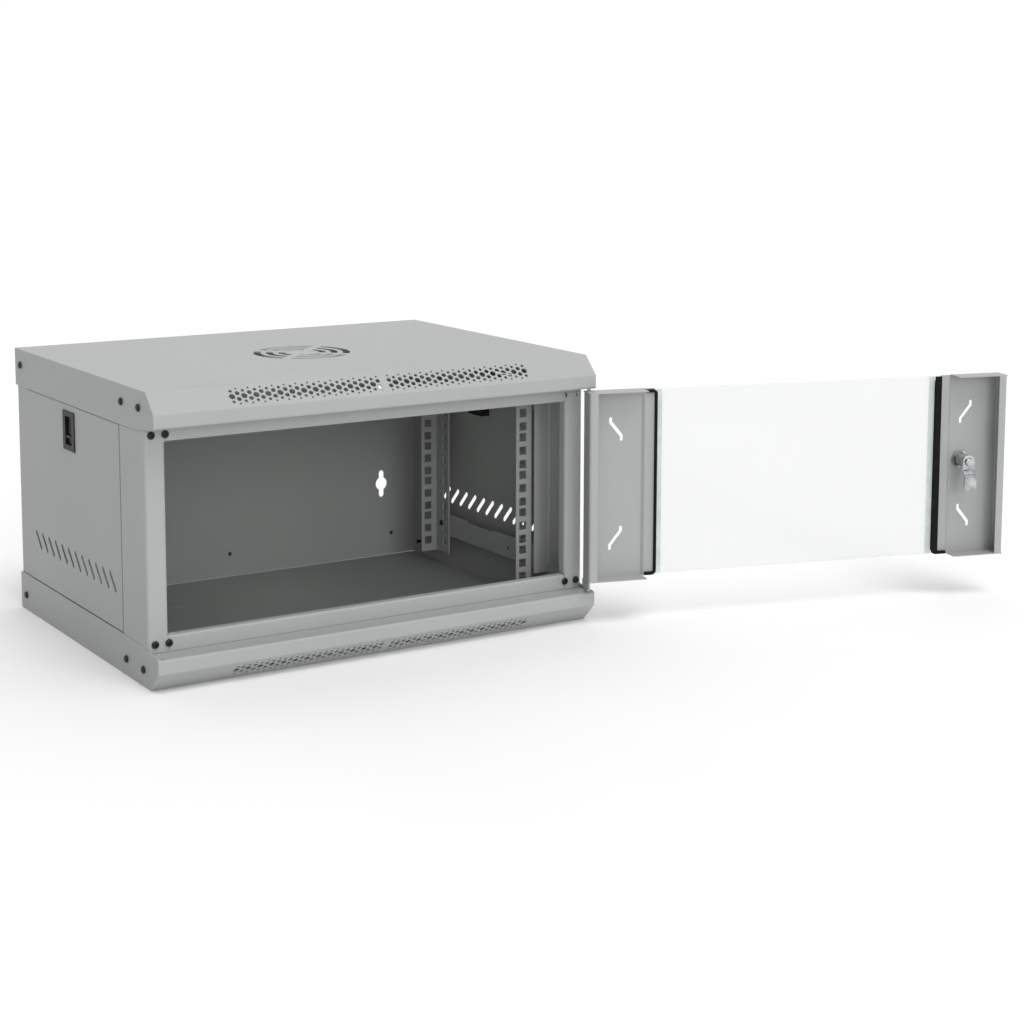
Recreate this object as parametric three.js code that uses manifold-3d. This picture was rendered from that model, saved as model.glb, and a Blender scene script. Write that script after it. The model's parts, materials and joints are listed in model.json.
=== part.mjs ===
// Wall-mount network server rack cabinet: a sheet-steel shell with a glazed
// swing door, two removable side panels and four drilled rack rails.
//
// Units are millimetres. The drawing frame used below has x from the left side
// to the right, y from the front lip to the back and z up from the underside.
// The exported group is shifted so that its origin is the centre of the underside.

import * as THREE from 'three';
import { mergeVertices } from 'three/addons/utils/BufferGeometryUtils.js';
import Module from 'manifold-3d';

const wasm = await Module();
wasm.setup();

// ---------------------------------------------------------------------------
// Driving dimensions
// ---------------------------------------------------------------------------

const WIDTH = 530;
const DEPTH = 412;
const HEIGHT = 306;
const SHEET = 1.5;
const GAP = 0.3;
const BEND = 1.0;
const CUT = 5;

// Top and bottom cover: the bottom one is the top one turned upside down
const BEVEL_DEPTH = 20.5;
const BEVEL_HEIGHT = 20.8;
const LIP_HEIGHT = 15.2;
const SHELF_Z = HEIGHT - BEVEL_HEIGHT - LIP_HEIGHT;
const COVER_FLANGE = 42.5;
const FLANGE_SLOPE_END = 46;
const TUCKED_FLANGE = 15;
const TUCKED_INSET = 4.5;

// Front frame: two posts and two rails around the equipment opening
const FRAME_Y = 27;
const TUCKED_Y = FRAME_Y + SHEET + BEND;
const POST_FACE = 23;
const POST_RETURN = 12;
const POST_CORNER = 2.2;
const POST_BACK_Y = 94;
const POST_BACK_X = 21.8;
const POST_BACK_Z = 40.5;
const POST_END_Y = 91;
const RAIL_EDGE_Z = 253;
const RAIL_RETURN = 10;
const TAB_INSET = 2;
const TAB_FRONT = 31;
const TAB_TIP = 6;
const TAB_JOGGLE = 7;
const STRIKE_SLOT = [143, 177];

// Side panels
const PANEL_RECESS = 0.7;
const PANEL_SHEET = 1;
const PANEL_FRONT = 95.3;
const PANEL_BACK = 375;
const PANEL_RETURN = 9;
const PANEL_RETURN_END = PANEL_BACK - 6;
const PANEL_CENTRE_Y = (PANEL_FRONT + PANEL_BACK) / 2;
const LOUVRE_COUNT = 12;
const LOUVRE_PITCH = 20.7;
const LOUVRE_Z = 92;
const LOUVRE_RUN = 15;
const LOUVRE_RISE = 15.5;
const LOUVRE_RADIUS = 2.75;

// Fan vent in the top cover
const VENT_CENTRE = [WIDTH / 2, 205];
const VENT_RINGS = [[19.5, 27.3], [33, 41], [46.8, 55]];
const SPOKE_WIDTH = 10;
const SPOKE_COUNT = 4;

// Back panel and its wall-mounting keyholes
const BACK_FLANGE_Y = PANEL_BACK - 5;
const BACK_INSET = 2;
const KEYHOLES_X = [51, WIDTH - 51];
const KEYHOLES_Z = [96, HEIGHT - 96];
const KEYHOLE_RADIUS = 8.25;
const KEYHOLE_SLOT = [7.3, 35];

// Rack rails, drilled to EIA-310: five rack units of three square holes
const RACK_SPACING = 465.1;
const RACK_UNIT = 44.45;
const RACK_HOLES = [6.35, 22.225, 38.1];
const RACK_UNITS = 5;
const RACK_UNIT_BASE = 30.55;
const RACK_HOLE = 9.5;
const RACK_SHEET = 2;
const RACK_BOTTOM = 22.8;
const RACK_TOP = 265;
const RACK_SIDE_X = 18.5;
const RACK_EDGE_X = 41.5;
const RACK_FRONT_Y = 101;
const RACK_REAR_Y = 322;
const RACK_SIDE_DEPTH = 30;
const RACK_SLOT = [7.5, 9.5];
const RACK_SLOT_INSET = 9.5;

// Depth brackets that carry the rack rails
const BRACKET_Z = [45.5, 73];
const BRACKET_FOOT_X = 10;
const BRACKET_JOGGLE_Y = [352, 365];
const BRACKET_BACK_Y = 405;
const BRACKET_STEP = [191, 252];
const BRACKET_STEP_DROP = 3;
const BRACKET_HOLE = [156.6, 56.6];
const BRACKET_HOLE_RADIUS = 3;

// Door, drawn closed and then swung open about its hinge axis
const DOOR_OPEN = 164.5;
const DOOR_SHEET = 1.2;
const DOOR_X = [3.5, 528.5];
const DOOR_Y = 0.5;
const DOOR_Z = [50, 267];
const DOOR_DEPTH = 23;
const DOOR_LIP = 10.2;
const DOOR_BEND = 1.8;
const HINGE_FLAT = 70;
const LOCK_FLAT = 64;
const RIM_STEP = 3;
const RIM_WIDTH = 11;
const HINGE_TAB_Z = 41;
const HINGE_TAB_CHAMFER = 4;
const HINGE_AXIS = [523.5, 4.5];
const GLASS_THICKNESS = 4;
const GLASS_Z = [51, 266];
const HINGE_GASKET = 2.4;
const LOCK_GASKET = 7.6;
const GASKET_LEG = [3.4, 11];
const GASKET_CORNER = 5;
const GASKET_RISE = 3;

// Slits in the door strips
const HINGE_SLIT_INSET = 39;
const LOCK_SLIT_INSET = 42.5;
const SLIT_OFFSET_Z = 63;
const SLIT_HALF = [6.5, 12];
const SLIT_STRAIGHT = 4;
const SLIT_RADIUS = 2;

// Cam lock
const LOCK_FROM_EDGE = 50;
const LOCK_Z = 165;
const LOCK_COLLAR = [10.5, 3.7];
const LOCK_BARREL = 8;
const LOCK_LENGTH = 23.5;
const LOCK_NUT = [10.8, 5];
const LOCK_PLUG = 5.4;
const LOCK_BORE = [2.5, 7];
const KEYWAY = [0.8, 3.6, 8];
const CAM_WIDTH = 16;
const CAM_SHEET = 2;
const CAM_REACH = 33;
const CAM_CRANK = 5;
const CAM_CRANK_RUN = [10, 15];
const CAM_CORNER = 3.5;
const CAM_BEND = 0.8;
const CAM_HEAD = [5.4, 3.2];

// Slam latch of a side panel
const LATCH_Y = 240;
const LATCH_Z = [212.6, 255.7];
const LATCH_WIDTH = 34;
const LATCH_BEZEL = 2;
const LATCH_TRAVEL = 7;
const LATCH_DEPTH = 14;
const LATCH_SILL = 207;
const POCKET_HALF = 11;
const POCKET_Z = [211, 250];
const POCKET_BACK = 11;
const WINDOW_HALF = 9.5;
const WINDOW_BOTTOM = 218.7;
const SLIDER_HALF = 10.5;
const SLIDER_FACE = 2.3;
const SLIDER_BLOCK = [9.7, 234];
const FINGER_HALF = 8;
const FINGER_Z = [226, 229];
const TONGUE_HALF = 7;
const TONGUE_BACK = 8.2;
const TONGUE_TOP = 268;
const TONGUE_CATCH = 264.3;
const TONGUE_TIP = [2, 266];
const SPRING_X = 6.8;
const SPRING_RADIUS = 2.3;
const SPRING_WIRE = 0.45;
const SPRING_TURNS = 6;

// Body of the latch, inside its bezel
const LATCH_BODY_HALF = LATCH_WIDTH / 2 - LATCH_BEZEL;
const LATCH_BODY_Z = [LATCH_Z[0] + LATCH_BEZEL, LATCH_Z[1] - LATCH_BEZEL];

// Fasteners
const SCREW_HEAD = [4, 2.4];
const FLAT_HEAD = [2.8, 1];
const SCREW_SHANK = 1.9;
const SCREW_LENGTH = 9;
const SCREW_HOLE = 2.2;
const FRONT_SCREW_X = [8, 23];
const FRONT_SCREW_Z = 260.5;
const SIDE_SCREW_Y = [38, 84, 393];
const SIDE_SCREW_Z = 288;
const PIN_RADIUS = 2;
const PIN_HOLE = 2.35;
const PIN_HEAD = [2.6, 2.5];
const PIN_COLLAR = 3;
const PIN_ENTRY = 5;

// ---------------------------------------------------------------------------
// Materials
// ---------------------------------------------------------------------------

const COLOURS = {
  powder_coat: { color: 0xb5b8b6, roughness: 0.55, metalness: 0.1 },
  zinc_rail: { color: 0xa9adab, roughness: 0.5, metalness: 0.2 },
  black_plastic: { color: 0x151617, roughness: 0.45, metalness: 0 },
  black_steel: { color: 0x101112, roughness: 0.4, metalness: 0.5 },
  rubber: { color: 0x141515, roughness: 0.85, metalness: 0 },
  chrome: { color: 0xcfd2d4, roughness: 0.15, metalness: 1 },
  spring_steel: { color: 0x9a9d9f, roughness: 0.3, metalness: 0.9 },
  glass: { color: 0xeef2f1, roughness: 0.05, metalness: 0, transparent: true, opacity: 0.3 },
};

// ---------------------------------------------------------------------------
// Solid helpers
// ---------------------------------------------------------------------------

function solidOf(geometry) {
  const bare = geometry.clone();
  bare.deleteAttribute('normal');
  bare.deleteAttribute('uv');
  const merged = mergeVertices(bare, 1e-4);
  return new wasm.Manifold(new wasm.Mesh({
    numProp: 3,
    vertProperties: Float32Array.from(merged.attributes.position.array),
    triVerts: Uint32Array.from(merged.index.array),
  }));
}

function geometryOf(solid) {
  const mesh = solid.getMesh();
  const geometry = new THREE.BufferGeometry();
  geometry.setAttribute('position', new THREE.BufferAttribute(mesh.vertProperties, 3));
  geometry.setIndex(new THREE.BufferAttribute(mesh.triVerts, 1));
  geometry.computeVertexNormals();
  return geometry;
}

function joined(solids) {
  return solids.reduce((whole, solid) => whole.add(solid));
}

function cut(solid, tools) {
  return tools.reduce((rest, tool) => rest.subtract(tool), solid);
}

function box([x0, x1], [y0, y1], [z0, z1]) {
  const geometry = new THREE.BoxGeometry(x1 - x0, y1 - y0, z1 - z0);
  geometry.translate((x0 + x1) / 2, (y0 + y1) / 2, (z0 + z1) / 2);
  return solidOf(geometry);
}

// A flat outline drawn out along an axis. Its points are (y, z) along x,
// (x, z) along y and (x, y) along z.
function prism(outline, axis, [from, to]) {
  const shape = new THREE.Shape(outline.map(([a, b]) => new THREE.Vector2(a, b)));
  const geometry = new THREE.ExtrudeGeometry(shape, { depth: to - from, bevelEnabled: false });
  const basis = new THREE.Matrix4();
  const [X, Y, Z] = [[1, 0, 0], [0, 1, 0], [0, 0, 1]].map((v) => new THREE.Vector3(...v));
  if (axis === 'x') {
    geometry.applyMatrix4(basis.makeBasis(Y, Z, X));
    geometry.translate(from, 0, 0);
  } else if (axis === 'y') {
    geometry.applyMatrix4(basis.makeBasis(X, Z, Y.negate()));
    geometry.translate(0, to, 0);
  } else {
    geometry.translate(0, 0, from);
  }
  return solidOf(geometry);
}

function arc([cx, cy], radius, fromAngle, toAngle, steps) {
  const points = [];
  for (let i = 0; i <= steps; i += 1) {
    const angle = fromAngle + ((toAngle - fromAngle) * i) / steps;
    points.push([cx + radius * Math.cos(angle), cy + radius * Math.sin(angle)]);
  }
  return points;
}

function circle(centre, radius, segments = 12) {
  return arc(centre, radius, 0, 2 * Math.PI * (1 - 1 / segments), segments - 1);
}

// Round-ended slot between the centres a and b
function stadium(a, b, radius, steps = 4) {
  const angle = Math.atan2(b[1] - a[1], b[0] - a[0]);
  return [
    ...arc(b, radius, angle - Math.PI / 2, angle + Math.PI / 2, steps),
    ...arc(a, radius, angle + Math.PI / 2, angle + 1.5 * Math.PI, steps),
  ];
}

function rod(axis, centre, radius, span, segments = 12) {
  return prism(circle(centre, radius, segments), axis, span);
}

function direction(a, b) {
  const length = Math.hypot(b[0] - a[0], b[1] - a[1]);
  return [(b[0] - a[0]) / length, (b[1] - a[1]) / length];
}

// Open path with each inner corner rounded to the radius that its turn asks for
function rounded(points, radiusOf, steps = 3) {
  const path = [points[0]];
  for (let i = 1; i < points.length - 1; i += 1) {
    const before = direction(points[i - 1], points[i]);
    const after = direction(points[i], points[i + 1]);
    const cross = before[0] * after[1] - before[1] * after[0];
    const turn = Math.atan2(cross, before[0] * after[0] + before[1] * after[1]);
    const radius = radiusOf(turn);
    const reach = radius * Math.tan(Math.abs(turn) / 2);
    const side = Math.sign(turn);
    const centre = [
      points[i][0] - before[0] * reach - before[1] * side * radius,
      points[i][1] - before[1] * reach + before[0] * side * radius,
    ];
    const start = Math.atan2(before[1], before[0]) - (side * Math.PI) / 2;
    path.push(...arc(centre, radius, start, start + turn, steps));
  }
  path.push(points[points.length - 1]);
  return path;
}

// Closed section of a bent sheet whose outer face follows the path; the sheet's
// thickness lies on the right-hand side of the path.
function sheetSection(path, thickness = SHEET, bend = BEND) {
  const inner = path.map((point, i) => {
    const before = direction(path[Math.max(i - 1, 0)], path[Math.max(i, 1)]);
    const last = path.length - 1;
    const after = direction(path[Math.min(i, last - 1)], path[Math.min(i + 1, last)]);
    const scale = thickness / (1 + before[0] * after[0] + before[1] * after[1]);
    return [
      point[0] + (before[1] + after[1]) * scale,
      point[1] - (before[0] + after[0]) * scale,
    ];
  });
  const outside = rounded(path, (turn) => (turn < 0 ? bend + thickness : bend));
  const inside = rounded(inner, (turn) => (turn < 0 ? bend : bend + thickness));
  return [...outside, ...inside.reverse()];
}

// Mirror image in the cabinet's middle plane
function mirrored(geometry) {
  const copy = geometry.clone().scale(-1, 1, 1).translate(WIDTH, 0, 0);
  const order = copy.index.array;
  for (let i = 0; i < order.length; i += 3) {
    [order[i], order[i + 1]] = [order[i + 1], order[i]];
  }
  copy.computeVertexNormals();
  return copy;
}

// The same piece turned half a turn about the cabinet's middle, upside down
function upended(geometry) {
  return geometry.clone().rotateY(Math.PI).translate(WIDTH, 0, HEIGHT);
}

// The left piece's bottom end made from its top end
function flipped(solid) {
  return solidOf(mirrored(upended(geometryOf(solid))));
}

function centred(half, centre) {
  return [centre - half, centre + half];
}

// ---------------------------------------------------------------------------
// Scene graph
// ---------------------------------------------------------------------------

const group = new THREE.Group();
group.position.set(-WIDTH / 2, -DEPTH / 2, 0);

const door = new THREE.Group();
door.position.set(HINGE_AXIS[0], HINGE_AXIS[1], 0);
door.rotation.z = THREE.MathUtils.degToRad(DOOR_OPEN);
group.add(door);

function addPart(name, shape, colour, parent = group) {
  const geometry = shape.isBufferGeometry ? shape.clone() : geometryOf(shape);
  if (parent === door) {
    geometry.translate(-HINGE_AXIS[0], -HINGE_AXIS[1], 0);
  }
  const mesh = new THREE.Mesh(geometry, new THREE.MeshStandardMaterial(COLOURS[colour]));
  mesh.name = name;
  parent.add(mesh);
}

// ---------------------------------------------------------------------------
// Covers
// ---------------------------------------------------------------------------

// Lower edge of the top cover's side flange, from the lip to the back
function coverFlangeOutline() {
  const front = [
    [FLANGE_SLOPE_END, HEIGHT - COVER_FLANGE],
    [0, SHELF_Z],
    [0, HEIGHT - BEVEL_HEIGHT],
    [BEVEL_DEPTH, HEIGHT],
    [DEPTH, HEIGHT],
  ];
  return [...rounded(front, () => BEND + SHEET), [DEPTH, HEIGHT - COVER_FLANGE]];
}

function ventSlots() {
  const slots = [];
  const quarter = (2 * Math.PI) / SPOKE_COUNT;
  for (const [inner, outer] of VENT_RINGS) {
    const outerTrim = Math.asin(SPOKE_WIDTH / 2 / outer);
    const innerTrim = Math.asin(SPOKE_WIDTH / 2 / inner);
    for (let k = 0; k < SPOKE_COUNT; k += 1) {
      const start = quarter * (k + 0.5);
      const outline = [
        ...arc(VENT_CENTRE, outer, start + outerTrim, start + quarter - outerTrim, 7),
        ...arc(VENT_CENTRE, inner, start + quarter - innerTrim, start + innerTrim, 7),
      ];
      slots.push(prism(outline, 'z', [HEIGHT - CUT, HEIGHT + CUT]));
    }
  }
  return slots;
}

function coverSolid(hasVent) {
  const path = [
    [TUCKED_Y, SHELF_Z - TUCKED_FLANGE],
    [TUCKED_Y, SHELF_Z],
    [0, SHELF_Z],
    [0, HEIGHT - BEVEL_HEIGHT],
    [BEVEL_DEPTH, HEIGHT],
    [DEPTH, HEIGHT],
  ];
  const section = prism(sheetSection(path), 'x', [0, WIDTH]);
  const tuckedZ = [SHELF_Z - TUCKED_FLANGE - CUT, SHELF_Z + CUT];
  const tuckedDepth = [FRAME_Y + GAP, TUCKED_Y + SHEET + GAP];
  const ends = [
    box([-CUT, TUCKED_INSET], tuckedDepth, tuckedZ),
    box([WIDTH - TUCKED_INSET, WIDTH + CUT], tuckedDepth, tuckedZ),
  ];
  const flanges = [[0, SHEET], [WIDTH - SHEET, WIDTH]].map((span) => (
    prism(coverFlangeOutline(), 'x', span)));
  const holes = SIDE_SCREW_Y.map((y) => (
    rod('x', [y, SIDE_SCREW_Z], SCREW_HOLE, [-CUT, WIDTH + CUT])));
  for (const side of [0, 1]) {
    const place = (x) => (side ? WIDTH - x : x);
    for (const x of FRONT_SCREW_X) {
      const span = [FRAME_Y, FRAME_Y + CUT];
      holes.push(rod('y', [place(x), FRONT_SCREW_Z], SCREW_HOLE, span));
    }
    const pinX = place(WIDTH - HINGE_AXIS[0]);
    holes.push(rod('z', [pinX, HINGE_AXIS[1]], PIN_HOLE, [SHELF_Z - CUT, SHELF_Z + CUT]));
  }
  const vents = hasVent ? ventSlots() : [];
  return cut(joined([cut(section, ends), ...flanges]), [...holes, ...vents]);
}

// ---------------------------------------------------------------------------
// Front frame
// ---------------------------------------------------------------------------

// Space of the top cover's side flange with clearance, for a post to stay out of
function coverFlangeSpace() {
  const edge = HEIGHT - COVER_FLANGE - GAP;
  const outline = [
    [-CUT, SHELF_Z],
    [0, SHELF_Z - GAP],
    [FLANGE_SLOPE_END, edge],
    [PANEL_FRONT, edge],
    [PANEL_FRONT, HEIGHT + CUT],
    [-CUT, HEIGHT + CUT],
  ];
  return prism(outline, 'x', [-CUT, SHEET + GAP]);
}

// Room at the left post's top end for the cover's flange, and the end of the side
function postTopRoom() {
  return [
    coverFlangeSpace(),
    box(
      [-CUT, POST_BACK_X + CUT],
      [POST_END_Y, POST_BACK_Y + CUT],
      [HEIGHT - POST_BACK_Z, HEIGHT],
    ),
  ];
}

// Joggled tab at the top end that stands behind the cover's flange
function postTopTab() {
  const depth = [TAB_FRONT, POST_END_Y];
  const joggleTop = HEIGHT - COVER_FLANGE - 2 * GAP;
  return [
    box([TAB_INSET, TAB_INSET + SHEET], depth, [joggleTop - 1, HEIGHT - TAB_TIP]),
    box([0, TAB_INSET + SHEET], depth, [joggleTop - TAB_JOGGLE, joggleTop]),
  ];
}

function postTopHoles() {
  return [
    ...FRONT_SCREW_X.map((x) => (
      rod('y', [x, FRONT_SCREW_Z], SCREW_HOLE, [FRAME_Y - CUT, FRAME_Y + CUT]))),
    ...SIDE_SCREW_Y.slice(0, 2).map((y) => (
      rod('x', [y, SIDE_SCREW_Z], SCREW_HOLE, [-CUT, CUT]))),
  ];
}

// Left post: a channel with its face to the front and a return along each edge. The
// front return stops below the cover's tucked flange and has the lock's strike slot.
function postSolid(hasStrike) {
  const path = [
    [POST_FACE, FRAME_Y + POST_RETURN],
    [POST_FACE, FRAME_Y],
    [0, FRAME_Y],
    [0, POST_BACK_Y],
    [POST_BACK_X, POST_BACK_Y],
  ];
  const section = sheetSection(path, SHEET, POST_CORNER);
  const endSection = sheetSection(path.slice(1), SHEET, POST_CORNER);
  const returnTop = RAIL_EDGE_Z - GAP;
  const middle = prism(section, 'z', [HEIGHT - returnTop, returnTop]);
  const end = prism(endSection, 'z', [returnTop, SHELF_Z - GAP]);
  const room = postTopRoom();
  const tab = postTopTab();
  const holes = postTopHoles();
  const strike = box(
    [POST_FACE - CUT, POST_FACE + CUT],
    [FRAME_Y + SHEET + GAP, FRAME_Y + POST_RETURN + CUT],
    STRIKE_SLOT,
  );
  const channel = joined([middle, end, flipped(end)]);
  const trimmed = cut(channel, [...room, ...room.map(flipped)]);
  const whole = joined([trimmed, ...tab, ...tab.map(flipped)]);
  const openings = hasStrike ? [strike] : [];
  return cut(whole, [...holes, ...holes.map(flipped), ...openings]);
}

function frameRailSolid() {
  const path = [
    [FRAME_Y + RAIL_RETURN, RAIL_EDGE_Z],
    [FRAME_Y, RAIL_EDGE_Z],
    [FRAME_Y, SHELF_Z - GAP],
  ];
  const seam = POST_FACE + GAP;
  const rail = prism(sheetSection(path), 'x', [seam, WIDTH - seam]);
  const holes = [FRONT_SCREW_X[1], WIDTH - FRONT_SCREW_X[1]].map((x) => (
    rod('y', [x, FRONT_SCREW_Z], SCREW_HOLE, [FRAME_Y - CUT, FRAME_Y + CUT])));
  return cut(rail, holes);
}

// ---------------------------------------------------------------------------
// Back panel
// ---------------------------------------------------------------------------

function keyholeOutline([cx, cz]) {
  const half = KEYHOLE_SLOT[0] / 2;
  const reach = KEYHOLE_SLOT[1] / 2 - half;
  const neck = Math.acos(half / KEYHOLE_RADIUS);
  return [
    ...arc([cx, cz], KEYHOLE_RADIUS, -neck, neck, 8),
    ...arc([cx, cz + reach], half, 0, Math.PI, 5),
    ...arc([cx, cz], KEYHOLE_RADIUS, Math.PI - neck, Math.PI + neck, 8),
    ...arc([cx, cz - reach], half, Math.PI, 2 * Math.PI, 5),
  ];
}

function backPanelSolid() {
  const path = [
    [BACK_INSET, BACK_FLANGE_Y],
    [BACK_INSET, DEPTH],
    [WIDTH - BACK_INSET, DEPTH],
    [WIDTH - BACK_INSET, BACK_FLANGE_Y],
  ];
  const edge = SHEET + GAP;
  const sheet = prism(sheetSection(path), 'z', [edge, HEIGHT - edge]);
  const keyholes = KEYHOLES_X.flatMap((x) => KEYHOLES_Z.map((z) => (
    prism(keyholeOutline([x, z]), 'y', [DEPTH - CUT, DEPTH + CUT]))));
  const holes = [SIDE_SCREW_Z, HEIGHT - SIDE_SCREW_Z].map((z) => (
    rod('x', [SIDE_SCREW_Y[2], z], SCREW_HOLE, [-CUT, WIDTH + CUT])));
  return cut(sheet, [...keyholes, ...holes]);
}

// ---------------------------------------------------------------------------
// Side panels
// ---------------------------------------------------------------------------

// Left panel; lean is +1 when the louvres' tops lean to the back, -1 to the front
function sidePanelSolid(lean) {
  const bottom = COVER_FLANGE + GAP;
  const top = HEIGHT - bottom;
  const inner = PANEL_RECESS + PANEL_RETURN;
  const path = [[inner, bottom], [PANEL_RECESS, bottom], [PANEL_RECESS, top], [inner, top]];
  const section = prism(sheetSection(path, PANEL_SHEET), 'y', [PANEL_FRONT, PANEL_BACK]);
  const frontReturn = box(
    [PANEL_RECESS, inner],
    [PANEL_FRONT, PANEL_FRONT + PANEL_SHEET],
    [bottom + BEND + PANEL_SHEET, top - BEND - PANEL_SHEET],
  );
  const backLap = box(
    [PANEL_RECESS + PANEL_SHEET, inner + CUT],
    [PANEL_RETURN_END, PANEL_BACK + CUT],
    [bottom - CUT, top + CUT],
  );
  const cutouts = [backLap];
  for (let i = 0; i < LOUVRE_COUNT; i += 1) {
    const y = PANEL_CENTRE_Y + (i - (LOUVRE_COUNT - 1) / 2) * LOUVRE_PITCH;
    const low = [y - (lean * LOUVRE_RUN) / 2, LOUVRE_Z - LOUVRE_RISE / 2];
    const high = [y + (lean * LOUVRE_RUN) / 2, LOUVRE_Z + LOUVRE_RISE / 2];
    cutouts.push(prism(stadium(low, high, LOUVRE_RADIUS), 'x', [-CUT, CUT]));
  }
  const latchWindow = box(
    [-CUT, PANEL_RECESS + PANEL_SHEET + GAP],
    centred(LATCH_BODY_HALF + GAP, LATCH_Y),
    [LATCH_BODY_Z[0] - GAP, LATCH_BODY_Z[1] + GAP],
  );
  const tongueSlot = box(
    [PANEL_RECESS + PANEL_SHEET, inner + CUT],
    centred(TONGUE_HALF + 2 * GAP, LATCH_Y),
    [top - PANEL_SHEET - GAP, top + GAP],
  );
  cutouts.push(latchWindow, tongueSlot);
  return cut(joined([section, frontReturn]), cutouts);
}

// ---------------------------------------------------------------------------
// Slam latch of the left panel
// ---------------------------------------------------------------------------

function latchHousingSolid() {
  const bezelBack = PANEL_RECESS - GAP;
  const skinBack = PANEL_RECESS + PANEL_SHEET;
  const pieces = [
    box([bezelBack - 1, bezelBack], centred(LATCH_WIDTH / 2, LATCH_Y), LATCH_Z),
    box([bezelBack - 0.1, LATCH_DEPTH], centred(LATCH_BODY_HALF, LATCH_Y), LATCH_BODY_Z),
    box(
      [skinBack + GAP, LATCH_DEPTH],
      centred(LATCH_BODY_HALF, LATCH_Y),
      [LATCH_SILL, LATCH_BODY_Z[0] + 1],
    ),
  ];
  const tools = [
    box([skinBack, POCKET_BACK], centred(POCKET_HALF, LATCH_Y), POCKET_Z),
    box([-CUT, CUT], centred(WINDOW_HALF, LATCH_Y), [WINDOW_BOTTOM, POCKET_Z[1]]),
    box(
      [SLIDER_FACE + SHEET, TONGUE_BACK + GAP],
      centred(TONGUE_HALF + GAP, LATCH_Y),
      [POCKET_Z[1] - 1, LATCH_Z[1]],
    ),
  ];
  return cut(joined(pieces), tools);
}

function latchSliderSolid() {
  const top = POCKET_Z[1] - GAP;
  const plateBottom = POCKET_Z[0] + LATCH_TRAVEL + 2 * GAP;
  const plateBack = SLIDER_FACE + SHEET;
  const stem = plateBack + 0.4;
  const tongue = [
    [stem, top - 2],
    [TONGUE_BACK, top - 2],
    [TONGUE_BACK, TONGUE_TOP],
    [stem, TONGUE_TOP],
    TONGUE_TIP,
    [TONGUE_TIP[0], TONGUE_CATCH],
    [stem, TONGUE_CATCH],
  ];
  return joined([
    box([SLIDER_FACE, plateBack], centred(SLIDER_HALF, LATCH_Y), [plateBottom, top]),
    box([-GAP, SLIDER_FACE + 0.1], centred(FINGER_HALF, LATCH_Y), FINGER_Z),
    box([plateBack - 0.1, SLIDER_BLOCK[0]], centred(SLIDER_HALF, LATCH_Y), [SLIDER_BLOCK[1], top]),
    prism(tongue, 'y', centred(TONGUE_HALF, LATCH_Y)),
  ]);
}

function latchSpringGeometry() {
  const bottom = POCKET_Z[0] + GAP + SPRING_WIRE;
  const top = SLIDER_BLOCK[1] - GAP - SPRING_WIRE;
  const steps = SPRING_TURNS * 10;
  const points = [];
  for (let i = 0; i <= steps; i += 1) {
    const angle = (i / steps) * SPRING_TURNS * 2 * Math.PI;
    points.push(new THREE.Vector3(
      SPRING_X + SPRING_RADIUS * Math.cos(angle),
      LATCH_Y + SPRING_RADIUS * Math.sin(angle),
      bottom + (i / steps) * (top - bottom),
    ));
  }
  const section = new THREE.Shape(
    circle([0, 0], SPRING_WIRE, 6).map(([a, b]) => new THREE.Vector2(a, b)),
  );
  const geometry = new THREE.ExtrudeGeometry(section, {
    steps: points.length - 1,
    extrudePath: new THREE.CatmullRomCurve3(points),
    bevelEnabled: false,
  });
  return geometryOf(solidOf(geometry));
}

// ---------------------------------------------------------------------------
// Rack rails and the brackets that carry them
// ---------------------------------------------------------------------------

function rackHoleHeights() {
  const heights = [];
  for (let unit = 0; unit < RACK_UNITS; unit += 1) {
    for (const offset of RACK_HOLES) {
      heights.push(RACK_UNIT_BASE + unit * RACK_UNIT + offset);
    }
  }
  return heights;
}

function drilledRail(path, faceY, sideY) {
  const rail = prism(sheetSection(path, RACK_SHEET), 'z', [RACK_BOTTOM, RACK_TOP]);
  const holeX = (WIDTH - RACK_SPACING) / 2;
  const tools = rackHoleHeights().flatMap((z) => [
    box(
      centred(RACK_HOLE / 2, holeX),
      [faceY - CUT, faceY + CUT],
      centred(RACK_HOLE / 2, z),
    ),
    box(
      [RACK_SIDE_X - CUT, RACK_SIDE_X + CUT],
      centred(RACK_SLOT[0] / 2, sideY),
      centred(RACK_SLOT[1] / 2, z),
    ),
  ]);
  return cut(rail, tools);
}

function frontRackRailSolid() {
  const back = RACK_FRONT_Y + RACK_SIDE_DEPTH;
  const path = [
    [RACK_EDGE_X, RACK_FRONT_Y],
    [RACK_SIDE_X, RACK_FRONT_Y],
    [RACK_SIDE_X, back],
  ];
  return drilledRail(path, RACK_FRONT_Y, back - RACK_SLOT_INSET);
}

function rearRackRailSolid() {
  const back = RACK_REAR_Y + RACK_SHEET;
  const front = RACK_REAR_Y - RACK_SIDE_DEPTH;
  const path = [
    [RACK_SIDE_X, front],
    [RACK_SIDE_X, back],
    [RACK_EDGE_X, back],
  ];
  return drilledRail(path, RACK_REAR_Y, front + RACK_SLOT_INSET);
}

// Left lower bracket: it ends on the back panel's flange and on the post's return
function bracketSolid() {
  const web = RACK_SIDE_X - GAP;
  const wall = BACK_INSET + SHEET + GAP + SHEET;
  const front = POST_BACK_Y + GAP;
  const path = [
    [wall, BRACKET_BACK_Y],
    [wall, BRACKET_JOGGLE_Y[1]],
    [web, BRACKET_JOGGLE_Y[0]],
    [web, front],
    [BRACKET_FOOT_X, front],
  ];
  const strip = prism(sheetSection(path), 'z', BRACKET_Z);
  const step = box(
    [0, web + CUT],
    BRACKET_STEP,
    [BRACKET_Z[1] - BRACKET_STEP_DROP, BRACKET_Z[1] + CUT],
  );
  return cut(strip, [step, rod('x', BRACKET_HOLE, BRACKET_HOLE_RADIUS, [0, web + CUT])]);
}

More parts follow.
